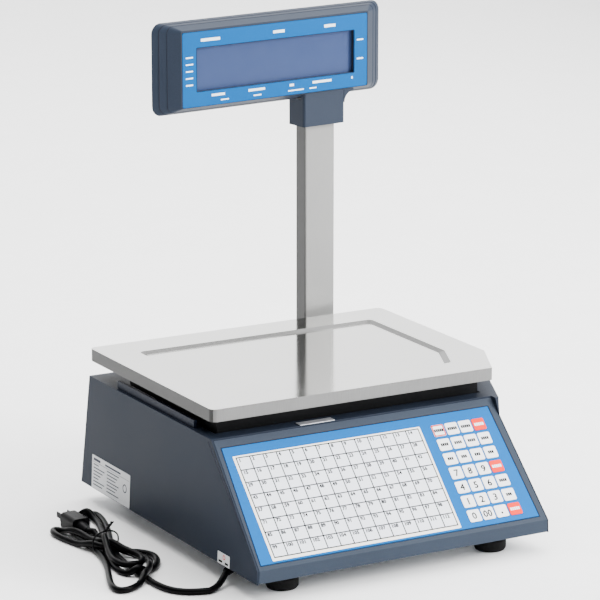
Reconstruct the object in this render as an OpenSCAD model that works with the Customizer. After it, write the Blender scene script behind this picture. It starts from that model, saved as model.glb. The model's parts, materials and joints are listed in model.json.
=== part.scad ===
// Label printing scale with a pole display: a painted housing on four levelling feet, a
// sloped keypad panel, a stainless pan on a load cell, a label printer behind a side door
// and a swivelling display on a column. All lengths are millimetres.
// X runs to the right, Y to the back, Z up. The feet stand on z = 0.

/* [Body] */
// Height of the flat ledge in front of the pan above the floor
ledge_z = 147; // [135:1:160]
// Gap between the floor and the base plate
foot_gap = 20; // [16:1:26]
// Height of the upright lip below the sloped panel
lip_h = 14.5; // [10:0.5:20]
// Plan depth of the sloped panel
panel_run = 110; // [100:1:125]
// Wall thickness of the housing
wall_t = 2.5; // [2:0.1:3]
// Thickness of the steel base plate
base_t = 2; // [1.5:0.1:2.5]

/* [Keypad] */
// Width of one function key
key_w = 15.2; // [13:0.1:16]
// Length of one function key along the slope
key_l = 14.2; // [12:0.1:15.5]
// Distance between neighbouring key columns
key_pitch_u = 17.2; // [17:0.1:18]
// Distance between neighbouring key rows
key_pitch_v = 17.7; // [17:0.1:18]
// Height of a key cap above the keypad membrane
key_proud = 0.5; // [0.3:0.1:0.8]

/* [Pan] */
// Width of the weighing pan
pan_w = 380; // [360:1:384]
// Depth of the weighing pan
pan_d = 294; // [280:1:296]
// Height of the pan's top face above the floor
pan_z = 179.5; // [176:0.5:186]
// Height of the pan's folded skirt
skirt_h = 14; // [10:0.5:16]
// Depth of the pressed recess in the pan
recess_depth = 3; // [2:0.5:4]

/* [Column and display] */
// Width of the column tube
column_w = 42; // [38:1:44]
// Depth of the column tube
column_d = 19.4; // [16:0.1:22]
// Angle that the display is turned away from straight ahead
turn = 6.6; // [0:0.1:8]
// Height of the display neck's lower end above the floor
neck_z = 403.5; // [390:0.5:430]

/* [Cord] */
// Diameter of the mains cord
cord_d = 7; // [6:0.5:8]

/* [Hidden] */
$fn = 48;
eps = 0.01;

// Body datum: x = 0 at the middle of the panel's top edge, y = 0 near the pan's middle
base_z = foot_gap;
lip_z = base_z + lip_h;
front_y = -230;
panel_top_y = front_y + panel_run;
rear_top_y = 173;
rear_bottom_y = 187;
left_top_x = -174.5;
left_bottom_x = -180;
right_bottom_x = 179.5;
bulge_x = 212;
bulge_y = -56.3;
ear_x = 178.5;
ear_y = -128.5;
ear_foot_x = 174;
ear_foot_y = -139.5;
ear_foot_z = 128;
slope_a = atan2(ledge_z - lip_z, panel_run);
draft_a = atan2(left_top_x - left_bottom_x, ledge_z - base_z);
rear_a = atan2(rear_bottom_y - rear_top_y, ledge_z - base_z);

// Bezel: thickness and distance of its side edges from the body's side walls
bezel_t = 3;
seam_left = 2.2;
seam_right = 1.3;
film_t = 1;
bezel_top_y = panel_top_y - 1.2;
opening_top_y = panel_top_y - 0.8;
cap_r = 1.8;
cap_gap = 0.2;
overlay_top_v = 11.5;
overlay_bottom_v = 152;

// Screws that close the base, in bosses inside the housing
base_screws = [[-171.5, -165], [170.5, -165], [-171.5, 155], [204, 155]];
boss_h = 9;
boss_r = 5.5;
web_l = 12;
thread_r = 1.5;
thread_hole_r = 1.6;
screw_hole_r = 1.7;

// Well in the ledge that the pan carrier sits in
well_x0 = -160;
well_x1 = 172;
well_y0 = -102;
well_y1 = 108;
well_floor_z = ledge_z - 6;

// Low guards on the ledge beside the pan: left edge and front end of each
guards = [[-170.5, -74], [200, -45]];
guard_w = 3.5;
guard_h = 9;
guard_back_y = 109;

// Pan
pan_x0 = -174;
pan_x1 = pan_x0 + pan_w;
pan_y0 = -121.5;
pan_y1 = pan_y0 + pan_d;
pan_t = 1.2;
pan_r = 7;
cut_x = 32;
cut_y = 66;
recess_x0 = pan_x0 + 40;
recess_x1 = pan_x1 - 38.5;
recess_y0 = pan_y0 + 40.5;
recess_y1 = pan_y1 - 43.5;
recess_slope = 5;
recess_r = 6;
recess_cut_x = 19;
recess_cut_y = 43;

// Load cell and pan carrier
cell_x = 16;
cell_y = 26;
cell_l = 130;
cell_w = 30;
cell_h = 22;
cell_z = 52;
cell_hole_r = 8;
cell_hole_x = 13;
pillar_l = 32;
post_l = 30;
post_x = cell_x + cell_l / 2 - post_l / 2;
carrier_z0 = well_floor_z + 3;
carrier_z1 = pan_z - skirt_h - 3;
carrier_t = 4;
pan_under_z = pan_z - recess_depth - pan_t;
pads_x = [-112, 145];
pads_y = [-58, 92];
pad_r = 8;

// Printer
door_y0 = -41;
door_y1 = 121;
door_z0 = 31;
door_z1 = 131;
door_t = 2.6;
door_gap = 0.8;
hinge_x = bulge_x + 3.5;
hinge_y = door_y1 + 1.5;
hinge_r = 3;
lug_spans = [[40, 49.8], [112.2, 122]];
knuckle_spans = [[50.2, 70], [92, 111.8]];
pin_r = 1.5;
run_gap = 0.05;
frame_y0 = 4;
frame_y1 = 76;
frame_t = 2;
frame_x0 = 91;
frame_x1 = 205;
platen_x = 193;
platen_z = 86;
platen_r = 6;
nip_z = platen_z + platen_r;
platen_y0 = 10;
platen_y1 = 72;
platen_shaft_r = 3;
platen_shaft_y1 = 83;
module_m = 0.8;
platen_teeth = 24;
motor_teeth = 12;
gear_t = 4;
platen_gear_y = 78;
motor_y0 = 84.5;
motor_y1 = 110;
motor_r = 10.5;
motor_shaft_r = 2;
motor_z = platen_z - module_m * (platen_teeth + motor_teeth) / 2;
roll_x = 137;
roll_z = 76;
roll_r = 42;
core_r = 12.7;
spindle_r = 5;
head_pivot_x = 176;
head_pivot_z = 107;
head_pivot_r = 2.5;
outlet_y0 = 8;
outlet_y1 = 74;

// Column
col_x = 133.3;
col_y = 200;
spigot_r = 9;
spigot_z0 = 60;
bracket_w = 66;
bracket_z0 = 30;
bracket_z1 = 136;
bracket_back_y = col_y + 16;
bracket_screws_x = [col_x - 26, col_x + 26];
bracket_screws_z = [66, 116];
bracket_screw_r = 2;
bracket_hole_r = 2.1;
cable_hole_z = 50;
cable_hole_r = 5;
column_t = 1.5;
column_z0 = bracket_z1 + 0.5;
column_z1 = 432;

// Display head, in a frame turned with the column, measured from the column's axis
face_y = -20;
window_x0 = -178.7;
window_x1 = 40.8;
window_z0 = 461.5;
window_z1 = 510.5;
film_x0 = -198;
film_x1 = 59.5;
film_z0 = 444.4;
film_z1 = 529.2;
film_w = film_x1 - film_x0;
film_h = film_z1 - film_z0;
film_gap = 0.3;
head_mid_x = (film_x0 + film_x1) / 2;
head_mid_z = (film_z0 + film_z1) / 2 + 1;
seam_y = face_y + 8.5;
girth_y = face_y + 17;
back_y = face_y + 33;
girth_w = film_w + 60;
girth_h = 104.8;
seam_w = film_w + 30;
seam_h = girth_h - 7;
shell_t = 3;
back_w = girth_w - 24;
neck_x0 = -29.2;
neck_x1 = 29.2;
neck_y0 = -18;
neck_y1 = 13;

// Middle of the object, so that the origin lies under the centre of its box
head_reach_x = head_mid_x + girth_w / 2;
head_reach_y = head_mid_x + back_w / 2;
x_max = col_x + head_reach_x * cos(turn) - girth_y * sin(turn);
y_max = col_y + head_reach_y * sin(turn) + back_y * cos(turn);
mid_x = (x_max + left_bottom_x) / 2;
mid_y = (y_max + front_y) / 2;

// Feet
feet = [[-131, -195], [127, -195], [-131, 140], [160, 140]];
foot_r = 17.5;
stud_r = 4;
nut_r = 8;
foot_boss_h = 16;

// Power switch and cord
switch_x = -160;
switch_y = -117;
switch_pivot_z = base_z + 6;
rocker_w = 9;
rocker_l = 8;
gland_from = [-154, -139, 13];
gland_to = [-176, -157, 13];
collar_z = 5.6;
collar_r = 7.5;
cord_r = cord_d / 2;
floor_r = cord_r + 0.1;
lead = [
  gland_to, [-181, -161, 11.5], [-187, -166, 8], [-194, -171, 5],
  [-204, -177, floor_r], [-217, -181, floor_r], [-230, -180, floor_r],
  [-241, -174, floor_r], [-248, -163, floor_r], [-250, -150, floor_r], [-253, -139, floor_r]
];
lead_sides = 10;
lead_steps = 2;
hank_z0 = 0.1;
hank_h = 22;
tie = [-239, 0];
tie_r = 10;
// Far end and end radius of each lobe of the bundle
lobes = [
  [[-270, 84], 9], [[-194, 112], 9], [[-240, 40], 5], [[-208, -44], 11],
  [[-246, -70], 11], [[-288, -130], 12], [[-260, -128], 12]
];
plug_x = -240;
plug_y = 62;
plug_z = 10;
plug_l = 32;

// Function keys, row by row from the top of the panel
key_rows = 7;
key_cols = 4;
key_u0 = 92.7;
key_v0 = 31.8;
function key_name(r, c) = str("key_", r + 1, "_", c + 1);
function foot_name(i) = str("foot_", i + 1);

// ---- helpers ----

module placed() { translate([-mid_x, -mid_y, 0]) children(); }

// Solid with a Y-Z profile, running from x0 to x1
module along_x(x0, x1) {
  translate([x0, 0, 0]) rotate([90, 0, 90]) linear_extrude(x1 - x0) children();
}

// Solid with an X-Z profile, running from y0 to y1
module along_y(y0, y1) {
  translate([0, y1, 0]) rotate([90, 0, 0]) linear_extrude(y1 - y0) children();
}

module box(a, b) { translate(a) cube(b - a); }

module rounded_rect(x0, y0, x1, y1, r) {
  translate([x0 + r, y0]) square([x1 - x0 - 2 * r, y1 - y0]);
  translate([x0, y0 + r]) square([x1 - x0, y1 - y0 - 2 * r]);
  for (x = [x0 + r, x1 - r], y = [y0 + r, y1 - r]) translate([x, y]) circle(r);
}

// Panel frame: X across, -Y down the slope from the top edge, Z out of the panel
module on_panel() {
  translate([0, panel_top_y, ledge_z]) rotate([slope_a, 0, 0]) children();
}

// Display frame: turned about the column's axis
module on_column() { translate([col_x, col_y, 0]) rotate([0, 0, turn]) children(); }

// A cylinder from point a to point b with radii r1 and r2
module rod(a, b, r1, r2) {
  d = b - a;
  len = norm(d);
  translate(a) rotate([0, acos(d[2] / len), atan2(d[1], d[0])]) cylinder(h = len, r1 = r1, r2 = r2);
}

// ---- housing ----

// Side profile of the body, inset by t
module side_profile(t) {
  polygon([
    [front_y + t, base_z - t],
    [front_y + t, lip_z + t * tan(slope_a) - t / cos(slope_a)],
    [panel_top_y + (t / cos(slope_a) - t) / tan(slope_a), ledge_z - t],
    [rear_top_y - t, ledge_z - t],
    [rear_bottom_y - t + t * tan(rear_a), base_z - t]
  ]);
}

// Everything beyond the leaning left wall, inset by t
module left_of_wall(t) {
  translate([left_bottom_x + t, -260, base_z]) rotate([0, draft_a, 0])
    translate([-60, 0, -60]) cube([60, 500, 260]);
}

// Everything beyond the leaning right wall, inset by t
module right_of_wall(t) {
  translate([right_bottom_x - t, -260, base_z]) rotate([0, -draft_a, 0])
    translate([0, 0, -60]) cube([60, 500, 260]);
}

// Plan outline of the printer's bulge on the right, inset by t
module bulge_outline(t) {
  lean = (bulge_x - ear_x) / (bulge_y - ear_y);
  shift = t * norm([1, lean]);
  corner_y = bulge_y + (shift - t) / lean;
  polygon([
    [ear_foot_x + t, panel_top_y + 0.5 + t],
    [ear_foot_x + t, ear_y - (ear_x - shift - ear_foot_x - t) / lean],
    [bulge_x - t, corner_y],
    [bulge_x - t, rear_bottom_y + 5],
    [ear_foot_x - 20, rear_bottom_y + 5],
    [ear_foot_x - 20, panel_top_y + 0.5 + t]
  ]);
}

// Side profile of the bulge, inset by t, with the ear that stands proud of the panel
module bulge_profile(t) {
  polygon([
    [ear_foot_y - 1, base_z - t],
    [ear_foot_y - 1, ear_foot_z - 1 - t * 1.2],
    [ear_foot_y + 0.8, ear_foot_z - t * 1.2],
    [ear_y + t * 0.5, ledge_z - t],
    [rear_top_y - t, ledge_z - t],
    [rear_bottom_y - t + t * tan(rear_a), base_z - t]
  ]);
}

module body_block(t) {
  difference() {
    along_x(left_bottom_x - 10, right_bottom_x + 10) side_profile(t);
    left_of_wall(t);
    right_of_wall(t);
  }
  intersection() {
    along_x(ear_foot_x - 20, bulge_x + 10) bulge_profile(t);
    translate([0, 0, base_z - 10]) linear_extrude(ledge_z) bulge_outline(t);
  }
}

// Low guard on the ledge, with its left front corner at p
module guard(p) {
  box([p[0], p[1], ledge_z - 1], [p[0] + guard_w, guard_back_y, ledge_z + guard_h]);
}

// Part of the door's hinge on the housing, between the heights in span
module hinge_lug(span) {
  box([bulge_x - 1, hinge_y - 1.2, span[0]], [hinge_x, hinge_y + 6, span[1]]);
  translate([hinge_x, hinge_y, span[0]]) cylinder(h = span[1] - span[0], r = hinge_r);
}

// Boss for a screw of the base plate, with a web to the nearest side wall
module screw_boss(p) {
  translate([p[0], p[1], base_z + base_t]) {
    cylinder(h = boss_h, r = boss_r);
    translate([sign(p[0]) * web_l / 2, 0, boss_h / 2]) cube([web_l, 3, boss_h], center = true);
  }
}

module housing() color([0.27, 0.31, 0.37]) {
  difference() {
    body_block(0);
    difference() {
      body_block(wall_t);
      box([well_x0 - wall_t, well_y0 - wall_t, well_floor_z - wall_t],
          [well_x1 + wall_t, well_y1 + wall_t, ledge_z + 1]);
      for (p = base_screws) screw_boss(p);
    }
    // open underside
    box([left_bottom_x - 5, front_y - 5, 0], [bulge_x + 5, rear_bottom_y + 5, base_z]);
    box([well_x0, well_y0, well_floor_z], [well_x1, well_y1, ledge_z + 1]);
    // passage for the carrier's post
    box([post_x - post_l / 2 - 7, cell_y - cell_w / 2 - 10, well_floor_z - 5],
        [post_x + post_l / 2 + 7, cell_y + cell_w / 2 + 10, well_floor_z + 1]);
    bezel_opening();
    box([bulge_x - 6, door_y0, door_z0], [bulge_x + 2, door_y1, door_z1]);
    // cable hole behind the column bracket
    along_y(rear_top_y - 10, rear_bottom_y + 10) translate([col_x, cable_hole_z]) circle(cable_hole_r);
    bracket_screw_holes();
    for (p = base_screws) translate([p[0], p[1], base_z]) cylinder(h = boss_h - 1, r = thread_hole_r);
  }
  for (p = guards) guard(p);
  for (span = lug_spans) hinge_lug(span);
  // hinge pin
  translate([hinge_x, hinge_y, lug_spans[0][0]]) cylinder(h = lug_spans[1][1] - lug_spans[0][0], r = pin_r);
}

// Opening of the housing that the bezel closes: a slab under the panel
module bezel_opening() {
  difference() {
    along_x(left_bottom_x - 1, right_bottom_x + 1) polygon([
      [front_y - 2, base_z - 1],
      [front_y - 2, lip_z + 2],
      [opening_top_y, ledge_z + 2],
      [opening_top_y, ledge_z - (panel_top_y - opening_top_y) * tan(slope_a) - bezel_t / cos(slope_a)],
      [front_y + bezel_t, lip_z + bezel_t * tan(slope_a) - bezel_t / cos(slope_a)],
      [front_y + bezel_t, base_z - 1]
    ]);
    left_of_wall(seam_left - 0.4);
    right_of_wall(seam_right - 0.4);
    // the ear stays
    box([ear_foot_x, ear_foot_y - 1, base_z], [bulge_x, panel_top_y + 5, ledge_z + 5]);
  }
}

// Screws that hold the column bracket, along Y through the rear wall
module bracket_screw_holes() {
  for (x = bracket_screws_x, z = bracket_screws_z)
    along_y(rear_top_y - 15, col_y + 20) translate([x, z]) circle(bracket_hole_r);
}

// ---- front bezel and keypad ----

module panel_profile() {
  top_z = ledge_z - (panel_top_y - bezel_top_y) * tan(slope_a);
  polygon([
    [front_y, base_z + 0.5],
    [front_y, lip_z],
    [bezel_top_y, top_z],
    [bezel_top_y, top_z - bezel_t / cos(slope_a)],
    [front_y + bezel_t, lip_z + bezel_t * tan(slope_a) - bezel_t / cos(slope_a)],
    [front_y + bezel_t, base_z + 0.5]
  ]);
}

module overlay_outline(grow) {
  polygon([
    [-167 - grow, grow - overlay_top_v], [164.7 + grow, grow - overlay_top_v],
    [170.2 + grow, -overlay_bottom_v - grow], [-173.5 - grow, -overlay_bottom_v - grow]
  ]);
}

module front_bezel() color([0.50, 0.55, 0.62]) {
  difference() {
    along_x(left_bottom_x, right_bottom_x) panel_profile();
    left_of_wall(seam_left);
    right_of_wall(seam_right);
    on_panel() translate([0, 0, -film_t]) linear_extrude(film_t + 1) overlay_outline(film_gap);
    // slot for the keypad's ribbon
    on_panel() translate([60, -149, -5]) cube([30, 3, 8]);
  }
}

module key_place(r, c) {
  on_panel() translate([key_u0 + c * key_pitch_u, -(key_v0 + r * key_pitch_v), 0]) children();
}

module key_outline(grow) {
  rounded_rect(-key_w / 2 - grow, -key_l / 2 - grow, key_w / 2 + grow, key_l / 2 + grow, cap_r + grow);
}

module keypad_overlay() color([0.10, 0.60, 0.90]) {
  difference() {
    on_panel() translate([0, 0, -film_t]) linear_extrude(film_t) overlay_outline(0);
    for (r = [0:key_rows - 1], c = [0:key_cols - 1])
      key_place(r, c) translate([0, 0, -film_t - 1]) linear_extrude(film_t + 2) key_outline(cap_gap);
  }
}

module key(r, c) {
  red = c == 3 && (r == 0 || r == 3 || r == 6);
  color(red ? [1, 0.42, 0.33] : [0.96, 0.96, 0.97])
    key_place(r, c) translate([0, 0, -0.5]) linear_extrude(0.5 + key_proud) key_outline(0);
}

// ---- base, feet and inner parts ----

module foot_boss(p) { translate([p[0], p[1], base_z]) cylinder(h = foot_boss_h, r = nut_r); }

module base_plate() color([0.62, 0.64, 0.66]) {
  difference() {
    union() {
      difference() {
        intersection() {
          box([left_bottom_x, front_y, base_z], [bulge_x, rear_bottom_y, base_z + base_t]);
          body_block(wall_t);
        }
        // clearance behind the bezel's lip
        box([left_bottom_x, front_y - 1, base_z - 1],
            [right_bottom_x, front_y + bezel_t + 0.6, base_z + base_t + 1]);
      }
      for (p = feet) foot_boss(p);
      // pillar under the fixed end of the load cell
      box([cell_x - cell_l / 2, cell_y - cell_w / 2, base_z],
          [cell_x - cell_l / 2 + pillar_l, cell_y + cell_w / 2, cell_z]);
      // lugs of the power switch
      for (y = [switch_y - rocker_w - 3.5, switch_y + rocker_w + 0.5])
        box([switch_x - 6, y, base_z], [switch_x + 6, y + 3, base_z + 12]);
    }
    for (p = feet) translate([p[0], p[1], base_z - 1]) cylinder(h = foot_boss_h + 4, r = stud_r + run_gap);
    // opening of the power switch
    box([switch_x - rocker_l - 2, switch_y - rocker_w - 0.4, base_z - 1],
        [switch_x + rocker_l + 2, switch_y + rocker_w + 0.4, base_z + base_t + 1]);
    along_y(switch_y - 20, switch_y + 20) translate([switch_x, switch_pivot_z]) circle(pin_r + run_gap);
    // cable hole above the gland
    translate([gland_from[0], gland_from[1], base_z - 1]) cylinder(h = 6, r = 4);
    // cooling slots under the power supply
    for (i = [0:4]) box([-150 + 11 * i, 50, base_z - 1], [-146 + 11 * i, 100, base_z + base_t + 1]);
    for (p = base_screws) translate([p[0], p[1], base_z - 1]) cylinder(h = 6, r = screw_hole_r);
  }
}

module foot(i) color([0.10, 0.10, 0.11]) translate([feet[i][0], feet[i][1], 0]) {
  cylinder(h = 3, r1 = foot_r - 2, r2 = foot_r);
  translate([0, 0, 3]) cylinder(h = 9, r = foot_r);
  translate([0, 0, 12]) cylinder(h = 2, r1 = foot_r, r2 = foot_r - 3);
  translate([0, 0, 14]) cylinder(h = 3, r = nut_r);
  translate([0, 0, 17]) cylinder(h = 19, r = stud_r);
}

module load_cell() color([0.80, 0.81, 0.83]) {
  difference() {
    box([cell_x - cell_l / 2, cell_y - cell_w / 2, cell_z],
        [cell_x + cell_l / 2, cell_y + cell_w / 2, cell_z + cell_h]);
    // two joined holes that make the bending beam
    along_y(cell_y - cell_w, cell_y + cell_w) translate([cell_x, cell_z + cell_h / 2]) {
      for (x = [-cell_hole_x, cell_hole_x]) translate([x, 0]) circle(cell_hole_r);
      translate([-cell_hole_x, -3]) square([2 * cell_hole_x, 6]);
    }
  }
}

module pan_carrier() color([0.06, 0.06, 0.07]) {
  difference() {
    box([well_x0 + 3, well_y0 + 2, carrier_z0], [well_x1 - 3, well_y1 - 3, carrier_z1]);
    // hollow underside
    box([well_x0 + 3 + carrier_t, well_y0 + 2 + carrier_t, carrier_z0 - 1],
        [well_x1 - 3 - carrier_t, well_y1 - 3 - carrier_t, carrier_z1 - carrier_t]);
  }
  // cross ribs
  for (y = [cell_y - 10, cell_y + 6])
    box([well_x0 + 5, y, carrier_z0], [well_x1 - 5, y + carrier_t, carrier_z1 - 2]);
  // post on the free end of the load cell
  box([post_x - post_l / 2, cell_y - cell_w / 2, cell_z + cell_h],
      [post_x + post_l / 2, cell_y + cell_w / 2, carrier_z1 - 2]);
  // pads that the pan rests on
  for (x = pads_x, y = pads_y)
    translate([x, y, carrier_z1 - 1]) cylinder(h = pan_under_z - carrier_z1 + 1, r = pad_r);
}

// Pan outline inset by t, with the cut corner at the front right
module pan_outline(t) {
  slant = cut_y / cut_x;
  shift = t * norm([1, slant]);
  difference() {
    rounded_rect(pan_x0 + t, pan_y0 + t, pan_x1 - t, pan_y1 - t, pan_r - t);
    polygon([
      [pan_x1 - cut_x - 20, pan_y0 - 20 * slant + shift],
      [pan_x1 + 20, pan_y0 + cut_y + 20 * slant + shift],
      [pan_x1 + 20, pan_y0 - 60]
    ]);
  }
}

// Outline of the pressed recess, grown by t
module recess_outline(t) {
  // each corner with the direction in which its round lies
  corners = [
    [recess_x0, recess_y0, 1, 1],
    [recess_x0, recess_y1, 1, -1],
    [recess_x1, recess_y1, -1, -1],
    [recess_x1, recess_y0 + recess_cut_y, -1, 1],
    [recess_x1 - recess_cut_x, recess_y0, -1, 1]
  ];
  hull() {
    for (p = corners)
      translate([p[0] + p[2] * (recess_r - t), p[1] + p[3] * (recess_r - t)]) circle(recess_r);
  }
}

// Tapered block that fills the pressed recess, grown by t
module recess_block(t, z_top, z_floor) {
  hull() {
    translate([0, 0, z_top]) linear_extrude(eps) recess_outline(t);
    translate([0, 0, z_floor]) linear_extrude(eps) recess_outline(t - recess_slope);
  }
}

module pan() color([0.80, 0.80, 0.80]) {
  difference() {
    union() {
      difference() {
        translate([0, 0, pan_z - skirt_h]) linear_extrude(skirt_h) pan_outline(0);
        translate([0, 0, pan_z - skirt_h - 1]) linear_extrude(skirt_h + 1 - pan_t) pan_outline(pan_t);
      }
      recess_block(pan_t, pan_z - pan_t - eps, pan_z - recess_depth - pan_t, $fn = 32);
    }
    recess_block(0, pan_z, pan_z - recess_depth, $fn = 32);
  }
}

// Open tray with side vents, a transformer, a filter and two capacitors
module power_supply() color([0.70, 0.72, 0.73]) {
  tray = [[-163, 36, base_z + base_t], [-90, 118, 62]];
  sheet = 1.5;
  floor_z = base_z + base_t + 4;
  difference() {
    box(tray[0], tray[1]);
    box([tray[0][0] + sheet, tray[0][1] + sheet, floor_z], [tray[1][0] - sheet, tray[1][1] - sheet, 63]);
    for (i = [0:3]) box([tray[0][0] - 1, 50 + 14 * i, 36], [tray[0][0] + 3, 57 + 14 * i, 56]);
  }
  box([-158, 44, floor_z - 0.1], [-134, 70, 52]);
  box([-126, 48, floor_z - 0.1], [-110, 66, 48]);
  for (y = [82, 100]) translate([-118, y, floor_z - 0.1]) cylinder(h = 26, r = 7);
}

// Board on four pillars with a processor, a memory chip, a connector and capacitors
module main_board() color([0.10, 0.42, 0.25]) {
  z = base_z + base_t;
  board_z = z + 8;
  top_z = board_z + 1.5;
  for (x = [-96, 76], y = [-196, -104]) translate([x, y, z]) cylinder(h = 8.2, r = 3.5);
  box([-100, -200, board_z], [80, -100, board_z + 1.6]);
  box([-60, -170, top_z], [-36, -146, top_z + 2.5]);
  box([0, -160, top_z], [16, -140, top_z + 2]);
  box([40, -196, top_z], [72, -188, top_z + 8.5]);
  for (x = [-90, -84, -78]) translate([x, -120, top_z]) cylinder(h = 14, r = 5);
}

// ---- printer ----

module printer_frame() color([0.35, 0.36, 0.38]) {
  z = base_z + base_t;
  difference() {
    union() {
      // two side plates
      for (y = [frame_y0, frame_y1 - frame_t]) along_y(y, y + frame_t) polygon([
        [frame_x0, z],
        [frame_x1, z],
        [frame_x1, platen_z + 9],
        [head_pivot_x + 8, head_pivot_z + 8],
        [head_pivot_x - 8, head_pivot_z + 8],
        [roll_x + 5, roll_z + 7],
        [roll_x - 5, roll_z + 7]
      ]);
      box([frame_x0, frame_y0, z], [frame_x1, motor_y1, z + frame_t]);
    }
    along_y(frame_y0 - 1, frame_y1 + 1) {
      translate([platen_x, platen_z]) circle(platen_shaft_r + run_gap);
      translate([roll_x, roll_z]) circle(spindle_r + run_gap);
    }
  }
  // pivot pins of the print head
  for (y = [frame_y0, frame_y1 - 8])
    along_y(y, y + 8) translate([head_pivot_x, head_pivot_z]) circle(head_pivot_r);
}

module print_head() color([0.75, 0.72, 0.60]) {
  difference() {
    union() {
      along_y(frame_y0 + frame_t + 0.6, frame_y1 - frame_t - 0.6) polygon([
        [head_pivot_x - 4, head_pivot_z - 4],
        [platen_x - 6, nip_z + 4],
        [platen_x - 6, nip_z + 0.4],
        [platen_x + 7, nip_z + 0.4],
        [platen_x + 7, nip_z + 6],
        [platen_x - 2, nip_z + 10],
        [head_pivot_x + 4, head_pivot_z + 4],
        [head_pivot_x - 4, head_pivot_z + 4]
      ]);
      // lift lever
      box([platen_x + 4, frame_y0 + 4, nip_z + 5], [platen_x + 9, frame_y0 + 12, nip_z + 22]);
    }
    along_y(frame_y0, frame_y1) translate([head_pivot_x, head_pivot_z]) circle(head_pivot_r + run_gap);
  }
}

module platen_roller() color([0.12, 0.12, 0.12]) {
  along_y(platen_y0, platen_y1) translate([platen_x, platen_z]) circle(platen_r);
  along_y(frame_y0 - 2, platen_shaft_y1) translate([platen_x, platen_z]) circle(platen_shaft_r);
}

// Spur gear outline with straight-sided teeth, phase in degrees
module gear_outline(teeth, m, phase) {
  rp = teeth * m / 2;
  ro = rp + 0.8 * m;
  rr = rp - 1.1 * m;
  step = 360 / teeth;
  // one tooth: share of the step and radius at root, tip, tip and root
  tooth = [[-0.30, rr], [-0.14, ro], [0.14, ro], [0.30, rr]];
  polygon([for (i = [0:teeth - 1], point = tooth)
    let (a = phase + (i + point[0]) * step) point[1] * [cos(a), sin(a)]]);
}

module platen_gear() color([0.85, 0.84, 0.78]) {
  along_y(platen_gear_y, platen_gear_y + gear_t) translate([platen_x, platen_z]) difference() {
    gear_outline(platen_teeth, module_m, -90);
    circle(platen_shaft_r - 0.001);
  }
}

module motor_gear() color([0.85, 0.84, 0.78]) {
  along_y(platen_gear_y - 0.5, platen_gear_y + gear_t + 0.5) translate([platen_x, motor_z])
    gear_outline(motor_teeth, module_m, 90 + 180 / motor_teeth);
  along_y(platen_gear_y + 2, motor_y0 + 16) translate([platen_x, motor_z]) circle(motor_shaft_r);
}

module drive_motor() color([0.55, 0.56, 0.58]) {
  difference() {
    along_y(motor_y0, motor_y1) translate([platen_x, motor_z]) circle(motor_r);
    along_y(motor_y0 - 1, motor_y0 + 18) translate([platen_x, motor_z]) circle(motor_shaft_r + run_gap);
  }
  // foot of the motor on the frame
  box([platen_x - 7, motor_y0 + 2, base_z + base_t + frame_t], [platen_x + 7, motor_y1, motor_z - 8]);
}

module label_roll() color([0.95, 0.94, 0.91]) {
  along_y(frame_y0 + 6, frame_y1 - 6) translate([roll_x, roll_z]) difference() {
    circle(roll_r);
    circle(core_r);
  }
  // core and spindle
  along_y(frame_y0 + 6, frame_y1 - 6) translate([roll_x, roll_z]) circle(core_r + 0.001);
  along_y(frame_y0 - 2, frame_y1 + 2) translate([roll_x, roll_z]) circle(spindle_r);
}

module printer_door() color([0.27, 0.31, 0.37]) {
  y0 = door_y0 + door_gap;
  y1 = door_y1 - door_gap;
  z0 = door_z0 + door_gap;
  z1 = door_z1 - door_gap;
  difference() {
    union() {
      box([bulge_x - door_t, y0, z0], [bulge_x, y1, z1]);
      // stiffening rim inside
      difference() {
        box([bulge_x - 5, y0 + 3, z0 + 3], [bulge_x - door_t + 0.5, y1 - 6, z1 - 3]);
        box([bulge_x - 6, y0 + 5, z0 + 5], [bulge_x, y1 - 8, z1 - 5]);
      }
      // finger pull
      box([bulge_x - 0.5, y0 + 4, 68], [bulge_x + 3, y0 + 8, 94]);
      // knuckles of the hinge
      for (span = knuckle_spans) {
        translate([hinge_x, hinge_y, span[0]]) cylinder(h = span[1] - span[0], r = hinge_r);
        box([bulge_x - 0.6, hinge_y - 12, span[0]], [hinge_x, hinge_y - 1.6, span[1]]);
      }
    }
    // outlet for the labels
    box([bulge_x - 8, outlet_y0, platen_z + 1], [bulge_x + 2, outlet_y1, platen_z + 7]);
    // bore of the hinge
    translate([hinge_x, hinge_y, knuckle_spans[0][0] - 5])
      cylinder(h = knuckle_spans[1][1] - knuckle_spans[0][0] + 10, r = pin_r + run_gap);
  }
}

// ---- column and display ----

module column_bracket() color([0.20, 0.22, 0.26]) {
  difference() {
    union() {
      box([col_x - bracket_w / 2, rear_bottom_y + 0.5, bracket_z0],
          [col_x + bracket_w / 2, bracket_back_y, bracket_z1]);
      // wedge that fills the gap to the leaning rear wall
      intersection() {
        box([col_x - bracket_w / 2, rear_top_y, bracket_z0],
            [col_x + bracket_w / 2, rear_bottom_y + 1, bracket_z1]);
        along_x(col_x - 60, col_x + 60) polygon([
          [rear_bottom_y, base_z], [rear_bottom_y + 10, base_z], [rear_bottom_y + 10, ledge_z],
          [rear_top_y, ledge_z]]);
      }
    }
    translate([col_x, col_y, spigot_z0]) cylinder(h = 90, r = spigot_r + run_gap);
    translate([col_x, col_y, bracket_z0 - 2]) cylinder(h = 40, r = 6);
    along_y(rear_top_y - 10, col_y) translate([col_x, cable_hole_z]) circle(cable_hole_r);
    bracket_screw_holes();
  }
}

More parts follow.
